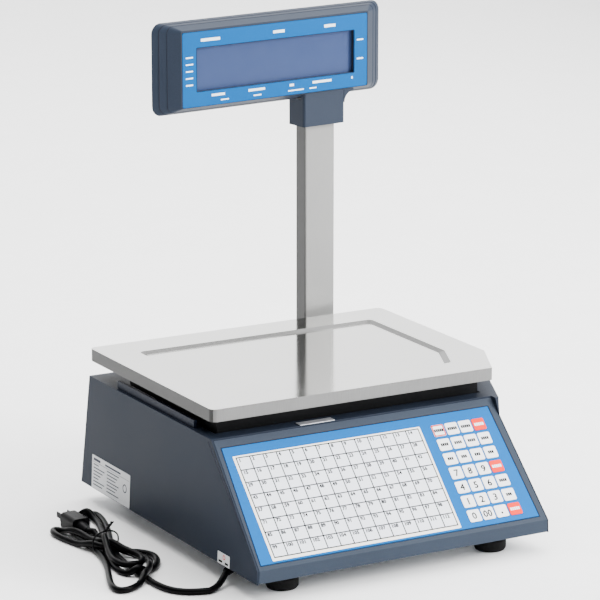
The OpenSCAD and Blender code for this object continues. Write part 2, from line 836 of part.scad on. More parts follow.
module column_tube() color([0.72, 0.72, 0.71]) {
  on_column() difference() {
    union() {
      translate([0, 0, column_z0]) linear_extrude(column_z1 - column_z0)
        rounded_rect(-column_w / 2, -column_d / 2, column_w / 2, column_d / 2, 2);
      translate([0, 0, spigot_z0 + 0.5]) cylinder(h = column_z0 - spigot_z0, r = spigot_r);
    }
    translate([0, 0, column_z0 + 3]) linear_extrude(column_z1)
      rounded_rect(column_t - column_w / 2, column_t - column_d / 2,
                   column_w / 2 - column_t, column_d / 2 - column_t, 0.8);
    // cable passage through the spigot
    translate([0, 0, spigot_z0 - 1]) cylinder(h = 100, r = cable_hole_r);
  }
}

// Thin upright plate with an X-Z outline, from y to y + t
module plate_xz(y, t, w, h, r) {
  along_y(y, y + t)
    rounded_rect(head_mid_x - w / 2, head_mid_z - h / 2, head_mid_x + w / 2, head_mid_z + h / 2, r);
}

// Outer form of the head, inset by the given amount
module head_shell(inset) {
  hull() {
    plate_xz(seam_y - inset / 3, 0.2, seam_w - 2 * inset, seam_h - 2 * inset, 8);
    plate_xz(girth_y, 0.2, girth_w - 2 * inset, girth_h - 2 * inset, 12);
    plate_xz(back_y - 0.2 - inset, 0.2, back_w - 2 * inset, girth_h - 12 - 2 * inset, 12);
  }
}

module head_rear() color([0.24, 0.27, 0.32]) on_column() difference() {
  head_shell(0, $fn = 32);
  head_shell(shell_t, $fn = 32);
  // passage for the display cable above the neck
  box([-14, -8, 420], [14, 8, 442]);
}

module head_front() color([0.50, 0.55, 0.62]) on_column() difference() {
  union() {
    hull($fn = 32) {
      plate_xz(face_y, 0.2, film_w + 3, film_h + 3, 2);
      plate_xz(seam_y - 0.2, 0.2, seam_w, seam_h, 8);
    }
    // neck that slides over the column
    difference() {
      translate([0, 0, neck_z]) linear_extrude(40) rounded_rect(neck_x0, neck_y0, neck_x1, neck_y1, 3);
      box([neck_x0 - 1, seam_y, head_mid_z - girth_h / 2 - 0.4], [neck_x1 + 1, neck_y1 + 1, 470]);
    }
  }
  // pocket for the printed film
  along_y(face_y - 1, face_y + 0.8) translate([film_x0 - film_gap, film_z0 - film_gap])
    square([film_w + 2 * film_gap, film_h + 2 * film_gap]);
  along_y(face_y - 1, seam_y + 1) window_outline(0, 0);
  // hollow behind the frame for the display module
  along_y(face_y + 5, seam_y + 1) window_outline(8, 6);
  // socket that fits over the column
  translate([0, 0, neck_z - 1]) linear_extrude(column_z1 - neck_z + 1.05)
    rounded_rect(-column_w / 2 - 0.02, -column_d / 2 - 0.02, column_w / 2 + 0.02, column_d / 2 + 0.02, 2);
  // cable passage into the head
  box([-12, -7, column_z1], [12, 7, 460]);
}

// Outline of the display window, grown by grow_x and grow_z
module window_outline(grow_x, grow_z) {
  translate([window_x0 - grow_x, window_z0 - grow_z])
    square([window_x1 - window_x0 + 2 * grow_x, window_z1 - window_z0 + 2 * grow_z]);
}

// Display glass with its board behind it
module display_module() color([0.45, 0.52, 0.64]) on_column() {
  along_y(face_y + 5, face_y + 8) window_outline(4, 4);
  along_y(face_y + 7.9, face_y + 22) window_outline(-6, 2);
}

// ---- switch, cord and screws ----

module power_switch() color([0.08, 0.08, 0.09]) {
  along_y(switch_y - rocker_w, switch_y + rocker_w) translate([switch_x, base_z]) polygon([
    [-rocker_l, -1],
    [0, -2.4],
    [rocker_l, -3.8],
    [rocker_l, 1],
    [4, 9],
    [-4, 9],
    [-rocker_l, 2]
  ]);
  along_y(switch_y - rocker_w - 3, switch_y + rocker_w + 3) translate([switch_x, switch_pivot_z])
    circle(pin_r);
}

module cord_gland() color([0.10, 0.10, 0.11]) {
  rod(gland_from, gland_to, 6, 4.6);
  // collar that locks it under the base plate
  translate([gland_from[0], gland_from[1], collar_z]) cylinder(h = base_z - collar_z, r = collar_r);
}

function unit(v) = v / norm(v);
// Direction of the route at point i
function heading(p, i) = unit(p[min(i + 1, len(p) - 1)] - p[max(i - 1, 0)]);
// Points between the route's own points on smooth curves
function curve_point(p, i, t) =
  let (a = p[max(i - 1, 0)], b = p[i], c = p[i + 1], d = p[min(i + 2, len(p) - 1)])
    0.5 * (2 * b + (c - a) * t + (2 * a - 5 * b + 4 * c - d) * t * t + (3 * b - a - 3 * c + d) * t * t * t);

// Tube swept along the points p with n sides and radius r
module tube(p, r, n) {
  rings = [for (i = [0:len(p) - 1])
    let (h = heading(p, i), s = unit(cross(h, [0, 0, 1])), u = cross(s, h))
      [for (k = [0:n - 1]) p[i] + r * (cos(360 * k / n) * s + sin(360 * k / n) * u)]];
  m = len(p);
  polyhedron(
    points = [for (ring = rings) each ring],
    faces = concat(
      [[for (k = [0:n - 1]) n - 1 - k]],
      [for (i = [0:m - 2], k = [0:n - 1])
        [i * n + k, i * n + (k + 1) % n, (i + 1) * n + (k + 1) % n, (i + 1) * n + k]],
      [[for (k = [0:n - 1]) (m - 1) * n + k]])
  );
}

module cord_lead() color([0.07, 0.07, 0.07]) {
  points = concat(
    [for (i = [0:len(lead) - 2], k = [0:lead_steps - 1]) curve_point(lead, i, k / lead_steps)],
    [lead[len(lead) - 1]]);
  tube(points, cord_r, lead_sides);
}

// Lobe of the bundled cord from the tie to p
module lobe(p, r) {
  hull($fn = 32) {
    translate(tie) circle(tie_r);
    translate(p) circle(r);
  }
}

module cord_hank() color([0.07, 0.07, 0.07]) translate([0, 0, hank_z0]) linear_extrude(hank_h) {
  for (l = lobes) lobe(l[0], l[1]);
}

module cord_plug() color([0.09, 0.09, 0.09]) {
  translate([plug_x, plug_y, plug_z]) {
    // strain relief and body
    translate([0, -17, 0]) rotate([-90, 0, 0]) cylinder(h = 19, r1 = 4.5, r2 = 7.5);
    along_y(0, plug_l) rounded_rect(-10.5, -9.5, 10.5, 9.5, 5);
    // two flat blades and the earth pin
    for (x = [-6.3, 6.3]) box([x - 0.75, plug_l - 1, -1], [x + 0.75, plug_l + 17, 5.3]);
    translate([0, plug_l - 1, -6]) rotate([-90, 0, 0]) cylinder(h = 20, r = 2.4);
  }
}

module screws() color([0.75, 0.76, 0.78]) {
  // pan-head screws of the column bracket
  for (x = bracket_screws_x, z = bracket_screws_z)
    translate([x, bracket_back_y, z]) rotate([90, 0, 0]) {
      translate([0, 0, -2.6]) cylinder(h = 2.6, r = 2 * bracket_screw_r);
      cylinder(h = 36, r = bracket_screw_r);
    }
  // screws that close the base
  for (p = base_screws) translate([p[0], p[1], base_z]) {
    translate([0, 0, -1.8]) cylinder(h = 1.8, r = 3.4);
    cylinder(h = boss_h - 2, r = thread_r);
  }
}

// ---- nodes ----

placed() base_plate();
placed() housing();
placed() front_bezel();
placed() keypad_overlay();
placed() load_cell();
placed() pan_carrier();
placed() pan();
placed() power_supply();
placed() main_board();
placed() printer_frame();
placed() print_head();
placed() platen_roller();
placed() platen_gear();
placed() motor_gear();
placed() drive_motor();
placed() label_roll();
placed() printer_door();
placed() column_bracket();
placed() column_tube();
placed() head_rear();
placed() head_front();
placed() display_module();
placed() power_switch();
placed() cord_gland();
placed() cord_lead();
placed() cord_hank();
placed() cord_plug();
placed() screws();
for (i = [0:3]) placed() foot(i);
for (r = [0:key_rows - 1], c = [0:key_cols - 1])
  placed() key(r, c);
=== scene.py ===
import bpy
import bmesh
import json
import math
import numpy as np
from mathutils import Vector, Matrix

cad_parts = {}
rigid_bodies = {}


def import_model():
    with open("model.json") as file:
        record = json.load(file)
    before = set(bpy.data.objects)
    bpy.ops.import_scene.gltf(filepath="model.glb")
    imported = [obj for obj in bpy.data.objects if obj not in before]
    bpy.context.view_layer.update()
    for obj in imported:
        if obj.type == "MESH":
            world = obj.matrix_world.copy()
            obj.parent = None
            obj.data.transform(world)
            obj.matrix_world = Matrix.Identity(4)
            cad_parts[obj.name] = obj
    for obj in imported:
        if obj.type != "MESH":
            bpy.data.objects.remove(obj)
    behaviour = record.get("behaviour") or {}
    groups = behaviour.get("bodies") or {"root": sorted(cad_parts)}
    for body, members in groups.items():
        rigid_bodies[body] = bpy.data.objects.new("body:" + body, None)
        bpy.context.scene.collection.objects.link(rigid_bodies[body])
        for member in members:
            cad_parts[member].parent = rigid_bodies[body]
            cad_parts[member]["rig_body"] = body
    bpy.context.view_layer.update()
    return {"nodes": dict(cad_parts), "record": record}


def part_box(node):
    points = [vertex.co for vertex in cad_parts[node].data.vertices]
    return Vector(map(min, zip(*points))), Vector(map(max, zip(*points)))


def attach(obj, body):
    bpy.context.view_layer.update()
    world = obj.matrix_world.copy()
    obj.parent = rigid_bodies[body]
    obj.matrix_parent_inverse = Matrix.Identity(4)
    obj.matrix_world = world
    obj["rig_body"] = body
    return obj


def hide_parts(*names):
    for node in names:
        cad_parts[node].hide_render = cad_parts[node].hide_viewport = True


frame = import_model()
nodes = frame["nodes"]

# ---- driving dimensions, in millimetres ----
half_w = 180                            # from the panel's middle to the housing's left wall
nose_y = -230                           # the bezel's front edge
ledge_y, ledge_z = -120, 147            # the top edge of the sloped panel
panel_run, panel_drop = 110, 112.5
wall_lean, wall_h, wall_foot = 5.5, 127, 20
column_x, column_y = 133.3, 200
display_turn = 6.6                      # degrees from straight ahead
face_y = -20                            # the display's face, from the column's axis

origin_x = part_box("housing")[0].x + half_w / 1000
origin_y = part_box("front_bezel")[0].y - nose_y / 1000


def place(x, y, z):
    """A point given in millimetres from the panel's middle, in the row frame."""
    return Vector((origin_x + x / 1000, origin_y + y / 1000, z / 1000))


def turn(angle, axis):
    return Matrix.Rotation(angle, 4, axis)


# frames to draw in, in millimetres
BODY = Matrix.Translation(place(0, 0, 0)) @ Matrix.Scale(0.001, 4)
# the panel: X across, Y up the slope, Z out of it
PANEL = BODY @ Matrix.Translation((0, ledge_y, ledge_z)) @ turn(math.atan2(panel_drop, panel_run), "X")
# the display's face: X across, Y up, Z towards the viewer
FACE = (BODY @ Matrix.Translation((column_x, column_y, 0)) @ turn(math.radians(display_turn), "Z")
        @ Matrix.Translation((0, face_y, 0)) @ turn(math.radians(90), "X"))
# the left wall: X to the front, Y up the wall, Z out of it
LEFT = (BODY @ Matrix.Translation((-half_w, 0, wall_foot)) @ turn(math.atan2(wall_lean, wall_h), "Y")
        @ Matrix(((0, 0, -1, 0), (-1, 0, 0, 0), (0, 1, 0, 0), (0, 0, 0, 1))))


def add(obj):
    bpy.context.scene.collection.objects.link(obj)
    return obj


# ---- camera ----
azimuth, elevation, distance = math.radians(-29.4), math.radians(13.94), 3500
back = Vector((math.sin(azimuth) * math.cos(elevation), -math.cos(azimuth) * math.cos(elevation),
               math.sin(elevation)))
cam_data = bpy.data.cameras.new("camera")
cam_data.sensor_width = 36
cam_data.lens = 191.1
cam_data.clip_end = 50
cam = add(bpy.data.objects.new("camera", cam_data))
aim = place(0.4, 0, 250.8)
cam.location = aim + back * distance / 1000
cam.rotation_euler = (-back).to_track_quat("-Z", "Y").to_euler()
bpy.context.scene.camera = cam


# ---- materials ----
def srgb(*shade):
    """A linear colour with alpha from red, green and blue of 0 to 255."""
    return tuple(v / 255 / 12.92 if v <= 10 else ((v / 255 + 0.055) / 1.055) ** 2.4 for v in shade) + (1.0,)


def material(name, dark, light, rough=(0.35, 0.5), metal=0.0, scale=120.0, bump=0.05, grain=(1, 1, 1),
             spec=0.5):
    """Colour and roughness drift with a broad and a fine noise, and the fine one is also a bump."""
    made = bpy.data.materials.new(name)
    made.use_nodes = True
    tree = made.node_tree
    surface = tree.nodes["Principled BSDF"]
    wire_up = tree.links.new

    def node(kind, values):
        new = tree.nodes.new("ShaderNode" + kind)
        for socket, value in values.items():
            new.inputs[socket].default_value = value
        return new

    coords = node("TexCoord", {})
    stretch = node("Mapping", {"Scale": grain})
    wire_up(coords.outputs["Object"], stretch.inputs["Vector"])
    broad = node("TexNoise", {"Scale": 9.0, "Detail": 3.0})
    wire_up(coords.outputs["Object"], broad.inputs["Vector"])
    fine = node("TexNoise", {"Scale": scale, "Detail": 4.0})
    wire_up(stretch.outputs["Vector"], fine.inputs["Vector"])

    half_broad = node("Math", {1: 0.5})
    half_broad.operation = "MULTIPLY"
    wire_up(broad.outputs["Fac"], half_broad.inputs[0])
    mixed = node("Math", {1: 0.5})
    mixed.operation = "MULTIPLY_ADD"
    wire_up(fine.outputs["Fac"], mixed.inputs[0])
    wire_up(half_broad.outputs[0], mixed.inputs[2])

    low, high = 0.3, 0.7
    ramp = node("ValToRGB", {})
    for stop, position, colour in zip(ramp.color_ramp.elements, (low, high), (dark, light)):
        stop.position = position
        stop.color = colour
    wire_up(mixed.outputs[0], ramp.inputs["Fac"])
    wire_up(ramp.outputs["Color"], surface.inputs["Base Color"])
    roughness = node("MapRange", {"From Min": low, "From Max": high, "To Min": rough[0], "To Max": rough[1]})
    wire_up(mixed.outputs[0], roughness.inputs["Value"])
    wire_up(roughness.outputs["Result"], surface.inputs["Roughness"])
    relief = node("Bump", {"Strength": bump, "Distance": 0.0004})
    wire_up(fine.outputs["Fac"], relief.inputs["Height"])
    wire_up(relief.outputs["Normal"], surface.inputs["Normal"])
    surface.inputs["Metallic"].default_value = metal
    surface.inputs["Specular IOR Level"].default_value = spec
    return made


# paints
paint = material("paint", srgb(29, 35, 46), srgb(34, 41, 53), (0.4, 0.52), scale=900, bump=0.12, spec=0.06)
head_paint = material("head_paint", srgb(35, 42, 54), srgb(41, 49, 62), (0.38, 0.5), scale=900, bump=0.12,
                      spec=0.1)
bezel_paint = material("bezel_paint", srgb(41, 49, 61), srgb(47, 56, 69), (0.4, 0.52), scale=900, bump=0.12,
                       spec=0.1)
navy = material("navy", srgb(12, 20, 34), srgb(16, 25, 40), (0.35, 0.5), scale=700, bump=0.1, spec=0.08)

# printed films, labels and inks
blue = material("film_blue", srgb(0, 91, 158), srgb(0, 95, 164), (0.35, 0.45), scale=500, bump=0.02,
                spec=0.02)
head_blue = material("head_film_blue", srgb(0, 79, 138), srgb(0, 83, 143), (0.35, 0.45), scale=500,
                     bump=0.02, spec=0.02)
film_edge = material("film_edge", srgb(24, 28, 38), srgb(34, 36, 46), (0.45, 0.6), scale=900, bump=0.03,
                     spec=0.05)
sheet_cream = material("sheet_cream", srgb(240, 238, 230), srgb(248, 246, 240), (0.6, 0.72), scale=500,
                       bump=0.04)
cell_tint = material("cell_tint", srgb(226, 230, 240), srgb(236, 240, 247), (0.6, 0.72), scale=500,
                     bump=0.04)
label_grey = material("label_grey", srgb(196, 198, 200), srgb(208, 210, 212), (0.45, 0.6), scale=400,
                      bump=0.04)
paper = material("paper", srgb(232, 232, 228), srgb(243, 243, 240), (0.7, 0.85), scale=700, bump=0.08)
ink = material("ink_black", srgb(2, 2, 3), srgb(4, 4, 5), (0.6, 0.7), scale=900, bump=0.03, spec=0.02)
ink_grey = material("ink_grey", srgb(58, 62, 72), srgb(70, 74, 84), (0.5, 0.65), scale=900, bump=0.03,
                    spec=0.05)
ink_white = material("ink_white", srgb(228, 240, 248), srgb(240, 248, 252), (0.45, 0.6), scale=900,
                     bump=0.03)
ink_red = material("ink_red", srgb(206, 24, 20), srgb(218, 32, 26), (0.5, 0.65), scale=900, bump=0.03,
                   spec=0.05)

# metals; the left sides of the pan's skirt and the column get darker copies of their materials, a painted
# shade
upright_grain = (6, 6, 0.2)
column_grain = (8, 8, 0.15)
steel = material("stainless", srgb(198, 198, 196), srgb(210, 210, 208), (0.08, 0.13), metal=1.0, scale=260,
                 bump=0.02, grain=(0.12, 6, 6))
skirt = material("stainless_skirt", srgb(100, 100, 99), srgb(120, 120, 119), (0.32, 0.42), metal=0.3,
                 scale=260, bump=0.03, grain=upright_grain)
# darker copy of the skirt for its left-facing faces: painted shade
skirt_painted_shade = material("stainless_skirt_painted_shade", srgb(50, 50, 50), srgb(64, 64, 63), (0.32, 0.42), metal=0.3,
                      scale=260, bump=0.03, grain=upright_grain, spec=0.2)
# darker steel for the recess's sloped bends and edges: painted shade
bend_painted_shade = material("stainless_bend_painted_shade", srgb(74, 74, 73), srgb(88, 88, 87), (0.3, 0.4), metal=0.2, scale=260,
                bump=0.03)
column = material("column_satin", srgb(128, 128, 127), srgb(138, 138, 136), (0.4, 0.5), metal=0.25,
                  scale=500, bump=0.05, grain=column_grain, spec=0.25)
# darker copy of the column's satin for its left-facing faces: painted shade
column_painted_shade = material("column_satin_painted_shade", srgb(82, 82, 82), srgb(92, 92, 91), (0.4, 0.5), metal=0.25,
                       scale=500, bump=0.05, grain=column_grain, spec=0.2)
zinc = material("zinc_sheet", srgb(158, 162, 166), srgb(186, 190, 194), (0.35, 0.5), metal=0.9, scale=60,
                bump=0.05)
alloy = material("alloy", srgb(196, 198, 202), srgb(214, 216, 220), (0.3, 0.42), metal=0.9, scale=220,
                 bump=0.06, grain=(6, 1, 1))
plated = material("plated_screw", srgb(176, 178, 184), srgb(204, 206, 210), (0.25, 0.4), metal=0.95,
                  scale=300, bump=0.06)
plate_metal = material("name_plate", srgb(188, 190, 196), srgb(206, 208, 214), (0.3, 0.42), metal=0.7,
                       scale=400, bump=0.05, grain=(0.3, 6, 6))

# plastics, rubber, glass and what is inside
carrier_black = material("carrier_black", srgb(9, 10, 12), srgb(14, 15, 18), (0.5, 0.65), scale=600,
                         bump=0.2, spec=0.1)
black = material("black_plastic", srgb(5, 5, 6), srgb(9, 9, 11), (0.38, 0.52), scale=600, bump=0.15,
                 spec=0.06)
jacket = material("cord_jacket", srgb(2, 2, 3), srgb(5, 5, 6), (0.28, 0.38), scale=260, bump=0.06,
                  spec=0.05)
rubber = material("rubber", srgb(8, 8, 9), srgb(14, 14, 15), (0.55, 0.75), scale=500, bump=0.25, spec=0.1)
glass = material("lcd_glass", srgb(44, 59, 96), srgb(48, 63, 100), (0.22, 0.28), scale=60, bump=0.004,
                 spec=0.12)
key_white = material("key_white", srgb(238, 239, 242), srgb(247, 248, 250), (0.4, 0.52), scale=500,
                     bump=0.05)
key_red = material("key_red", srgb(236, 40, 28), srgb(244, 48, 34), (0.4, 0.52), scale=500, bump=0.05,
                   spec=0.05)
board = material("board_green", srgb(18, 96, 52), srgb(26, 116, 62), (0.3, 0.5), scale=150, bump=0.1)
printer_grey = material("printer_grey", srgb(62, 65, 70), srgb(76, 79, 84), (0.4, 0.55), scale=500,
                        bump=0.2)
head_bar = material("head_bar", srgb(186, 182, 168), srgb(204, 200, 188), (0.35, 0.5), metal=0.6, scale=300,
                    bump=0.05)
acetal = material("acetal", srgb(218, 214, 200), srgb(230, 226, 214), (0.35, 0.5), scale=300, bump=0.06)
floor_white = material("floor_white", srgb(246, 246, 246), srgb(250, 250, 250), (0.5, 0.6), scale=40,
                       bump=0.01)

# ---- a material for every CAD node ----
look = {
    "housing": paint, "bezel": bezel_paint, "keypad_film": blue, "sheet_metal": zinc, "pan_steel": steel,
    "alloy": alloy, "carrier": carrier_black, "board": board, "printer": printer_grey,
    "head_ceramic": head_bar, "rubber": rubber, "gear": acetal, "paper": paper, "column": column,
    "display": glass, "black_plastic": black, "cord_jacket": jacket, "screw": plated,
    "key_white": key_white, "key_red": key_red,
}
slot_of = {part["node"]: part["material_slot"] for part in frame["record"]["subparts"]}
for name, obj in nodes.items():
    obj.data.materials.clear()
    obj.data.materials.append(look[slot_of[name]])


# ---- building helpers ----
def put(name, mesh, surface, matrix, body):
    """A new piece drawn in one of the frames above, riding on a body."""
    obj = add(bpy.data.objects.new(name, mesh))
    mesh.materials.append(surface)
    mesh.transform(matrix)
    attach(obj, body)


def mesh_of(name, verts, faces):
    mesh = bpy.data.meshes.new(name)
    mesh.from_pydata(verts, [], faces)
    return mesh


def boxes(items):
    """One mesh of boxes (x0, y0, x1, y1, z0, z1)."""
    verts, faces = [], []
    for x0, y0, x1, y1, z0, z1 in items:
        n = len(verts)
        verts += [(x, y, z) for z in (z0, z1) for x, y in ((x0, y0), (x1, y0), (x1, y1), (x0, y1))]
        faces += [[n + i for i in face] for face in
                  ((3, 2, 1, 0), (4, 5, 6, 7), (0, 1, 5, 4), (1, 2, 6, 5), (2, 3, 7, 6), (3, 0, 4, 7))]
    return mesh_of("boxes", verts, faces)


def rounded(x0, y0, x1, y1, r, grow=0.0):
    """A rectangle's outline with corners of radius r, moved outwards by grow."""
    x0, y0, x1, y1 = x0 - grow, y0 - grow, x1 + grow, y1 + grow
    steps = 6
    points = []
    corners = ((x1 - r, y1 - r), (x0 + r, y1 - r), (x0 + r, y0 + r), (x1 - r, y0 + r))
    for start, (x, y) in zip((0, 90, 180, 270), corners):
        for i in range(steps + 1):
            angle = math.radians(start + 90 * i / steps)
            points.append((x + r * math.cos(angle), y + r * math.sin(angle)))
    return points


def slab(points, z0, z1):
    """A flat plate with the outline points, between the heights z0 and z1."""
    n = len(points)
    verts = [(x, y, z) for z in (z0, z1) for x, y in points]
    faces = [list(range(n - 1, -1, -1)), list(range(n, 2 * n))]
    faces += [[i, (i + 1) % n, n + (i + 1) % n, n + i] for i in range(n)]
    return mesh_of("slab", verts, faces)


def ring(outer, inner, z0, z1):
    """A flat ring between two outlines with the same number of points."""
    n = len(outer)
    verts = [(x, y, z) for z in (z0, z1) for x, y in outer + inner]
    faces = []
    for i in range(n):
        j = (i + 1) % n
        faces += [[2 * n + i, 2 * n + j, 3 * n + j, 3 * n + i], [j, i, n + i, n + j],
                  [i, j, 2 * n + j, 2 * n + i], [n + j, n + i, 3 * n + i, 3 * n + j]]
    return mesh_of("ring", verts, faces)


def glyphs(text, size):
    """Corners and faces of a number in the built-in font."""
    curve = bpy.data.curves.new("t", "FONT")
    curve.body = text
    curve.size = size
    curve.resolution_u = 2
    obj = add(bpy.data.objects.new("t", curve))
    mesh = bpy.data.meshes.new_from_object(obj.evaluated_get(bpy.context.evaluated_depsgraph_get()))
    shape = ([v.co.copy() for v in mesh.vertices], [list(p.vertices) for p in mesh.polygons])
    bpy.data.objects.remove(obj)
    return shape


def numbers(name, size, bold, z, places):
    """One mesh of numbers; places is a list of (text, x, y). Three shifted copies thicken the strokes."""
    shifts = ((0, 0), (bold, 0), (bold / 2, bold * 0.8))
    lift = 0.01
    verts, faces = [], []
    shapes = {text: glyphs(text, size) for text in dict.fromkeys(text for text, x, y in places)}
    for text, x, y in places:
        corners, sides = shapes[text]
        for k, (dx, dy) in enumerate(shifts):
            n = len(verts)
            verts += [(x + dx + v.x, y + dy + v.y, z + lift * k) for v in corners]
            faces += [[n + i for i in side] for side in sides]
    return mesh_of(name, verts, faces)


def shell(node, width, segments, surface):
    """A copy of a CAD node with its edges rounded by width millimetres, shown in its place."""
    merge, coplanar, sharp = 1e-6, math.radians(0.6), math.radians(28)
    work = bmesh.new()
    work.from_mesh(nodes[node].data)
    bmesh.ops.remove_doubles(work, verts=work.verts, dist=merge)
    bmesh.ops.dissolve_limit(work, angle_limit=coplanar, verts=work.verts, edges=work.edges)
    mesh = bpy.data.meshes.new(node + "_rounded")
    work.to_mesh(mesh)
    work.free()
    mesh.materials.append(surface)
    for face in mesh.polygons:
        face.use_smooth = True
    obj = add(bpy.data.objects.new(node + "_rounded", mesh))
    edges = obj.modifiers.new("edges", "BEVEL")
    edges.width = width / 1000
    edges.segments = segments
    edges.limit_method = "ANGLE"
    edges.angle_limit = sharp
    edges.use_clamp_overlap = True
    flat = obj.modifiers.new("normals", "WEIGHTED_NORMAL")
    flat.weight = 100
    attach(obj, nodes[node]["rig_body"])
    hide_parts(node)
    return obj


def strand(curve, points, closed=False):
    """Adds a line through points to a curve."""
    spline = curve.splines.new("POLY")
    spline.points.add(len(points) - 1)
    for k, point in enumerate(points):
        spline.points[k].co = (*place(*point), 1)
    spline.use_cyclic_u = closed
    return spline


def tube_curve(name, radius, resolution, surface):
    """A curve that shows as a round wire of radius millimetres."""
    curve = bpy.data.curves.new(name, "CURVE")
    curve.dimensions = "3D"
    curve.bevel_depth = radius / 1000
    curve.bevel_resolution = resolution
    curve.materials.append(surface)
    return curve


# ---- mains cord: the lead from the gland, then the folds of the bundle from the floor upwards ----
cord_r = 3.5
lead = [
    (-176, -157, 13), (-180.5, -160.7, 11.4), (-187, -166, 7.8), (-194, -171, 5), (-205, -177, 3.6),
    (-218, -180, 3.6), (-231, -178, 3.6), (-242, -169, 3.6), (-247, -155, 3.6), (-249, -139, 3.6),
    (-248, -120, 3.6), (-246, -90, 3.6), (-246, -55, 3.6)]
fold_far = [
    (-240, -14, 4), (-226, 22, 3.6), (-208, 66, 3.6), (-196, 104, 3.6), (-190, 122, 3.6),
    (-195, 131, 3.6), (-205, 124, 3.6), (-217, 102, 3.6), (-232, 66, 3.6), (-242, 28, 5)]
lobe_wide = [
    (-244, -14, 9), (-236, -24, 8), (-220, -20, 6), (-207, -27, 4), (-199, -38, 3.6), (-202, -56, 3.6),
    (-219, -80, 4), (-236, -96, 8), (-252, -101, 10), (-264, -97, 9), (-267, -84, 6), (-263, -62, 5),
    (-255, -38, 8)]
fold_near = [
    (-248, -14, 13), (-232, 18, 12), (-214, 62, 9), (-202, 100, 8), (-204, 119, 8), (-212, 130, 8),
    (-223, 127, 8), (-236, 113, 8), (-246, 90, 8), (-251, 56, 8), (-253, 20, 8)]
lobe_long = [
    (-252, -16, 9), (-259, -45, 6), (-268, -64, 4), (-279, -86, 3.6), (-291, -113, 3.6),
    (-298, -133, 3.6), (-296, -144, 3.6), (-286, -143, 3.6), (-274, -136, 5), (-259, -124, 10),
    (-244, -106, 12), (-228, -84, 10), (-213, -62, 8), (-209, -47, 8), (-217, -33, 12), (-232, -26, 15)]
fold_left = [
    (-250, -12, 17), (-257, 14, 14), (-263, 38, 10), (-269, 62, 6), (-272, 84, 4), (-266, 98, 4),
    (-257, 98, 6), (-252, 84, 10), (-251, 56, 14), (-248, 22, 17)]
lobe_top = [
    (-246, -16, 20), (-238, -36, 20), (-226, -46, 18), (-219, -56, 16), (-223, -71, 16), (-236, -86, 18),
    (-252, -90, 19), (-262, -84, 18), (-264, -68, 16), (-258, -42, 18)]
to_plug = [(-246, -14, 22), (-238, 10, 20), (-238, 30, 14), (-240, 46, 10.5)]
route = np.array(lead + fold_far + lobe_wide + fold_near + lobe_long + fold_left + lobe_top + to_plug, float)


def along(points):
    """The distance from the start to each point of a line."""
    return np.concatenate([[0], np.cumsum(np.linalg.norm(np.diff(points, axis=0), axis=1))])


def dense(points, step):
    """Points about step millimetres apart on a smooth curve through points."""
    fine = []
    for i in range(len(points) - 1):
        before, a, b, after = (points[min(max(k, 0), len(points) - 1)] for k in (i - 1, i, i + 1, i + 2))
        n = max(2, int(np.linalg.norm(b - a) / 1.5))
        for t in (k / n for k in range(n)):
            fine.append(0.5 * (2 * a + (b - before) * t + (2 * before - 5 * a + 4 * b - after) * t * t
                               + (3 * a - before - 3 * b + after) * t ** 3))
    fine.append(points[-1])
    fine = np.array(fine)
    reach = along(fine)
    stations = np.linspace(0, reach[-1], int(round(reach[-1] / step)) + 1)
    return np.stack([np.interp(stations, reach, fine[:, axis]) for axis in range(3)], 1)


def settle(points, rounds):
    """Pushes crossing strands apart, smooths the line and keeps it on the floor."""
    neighbours = 6            # points this close along the line don't push each other
    first, last = 10, -4      # the ends stay where they are
    sideways, upwards = 0.6, 0.6
    tie_break = 0.01          # decides which of two strands at one height goes up
    stiffness, smoothing, weight, clearance = 0.25, 0.22, 0.05, 0.05
    points = points.copy()
    n = len(points)
    order = np.arange(n)
    apart = np.abs(order[:, None] - order[None, :]) > neighbours
    for _ in range(rounds):
        offset = points[:, None, :] - points[None, :, :]
        gap = np.linalg.norm(offset, axis=2)
        i, j = np.where((gap < 2 * cord_r) & apart)
        push = np.zeros_like(points)
        if len(i):
            away = offset[i, j]
            away[:, :2] *= sideways
            away[:, 2] += np.sign(away[:, 2] + tie_break * np.sign(i - j)) * upwards
            away /= np.maximum(np.linalg.norm(away, axis=1), 1e-6)[:, None]
            np.add.at(push, i, away * ((2 * cord_r - gap[i, j]) * stiffness)[:, None])
        count = np.maximum(1, np.bincount(i, minlength=n))[:, None]
        points[first:last] += (push / count ** 0.5)[first:last]
        points[first:last, 2] -= weight
        middle = (points[:-2] + points[2:]) / 2
        points[first + 1:last - 1] += smoothing * (middle[first:last] - points[first + 1:last - 1])
        points[:, 2] = np.maximum(points[:, 2], cord_r + clearance)
    return points


line = settle(dense(route, 4.0), 160)
cord_curve = tube_curve("mains_cord", cord_r, 6, jacket)
cord_curve.use_fill_caps = True
strand(cord_curve, line).use_smooth = True
cord = add(bpy.data.objects.new("mains_cord", cord_curve))
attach(cord, "base")
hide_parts("cord_lead", "cord_hank")

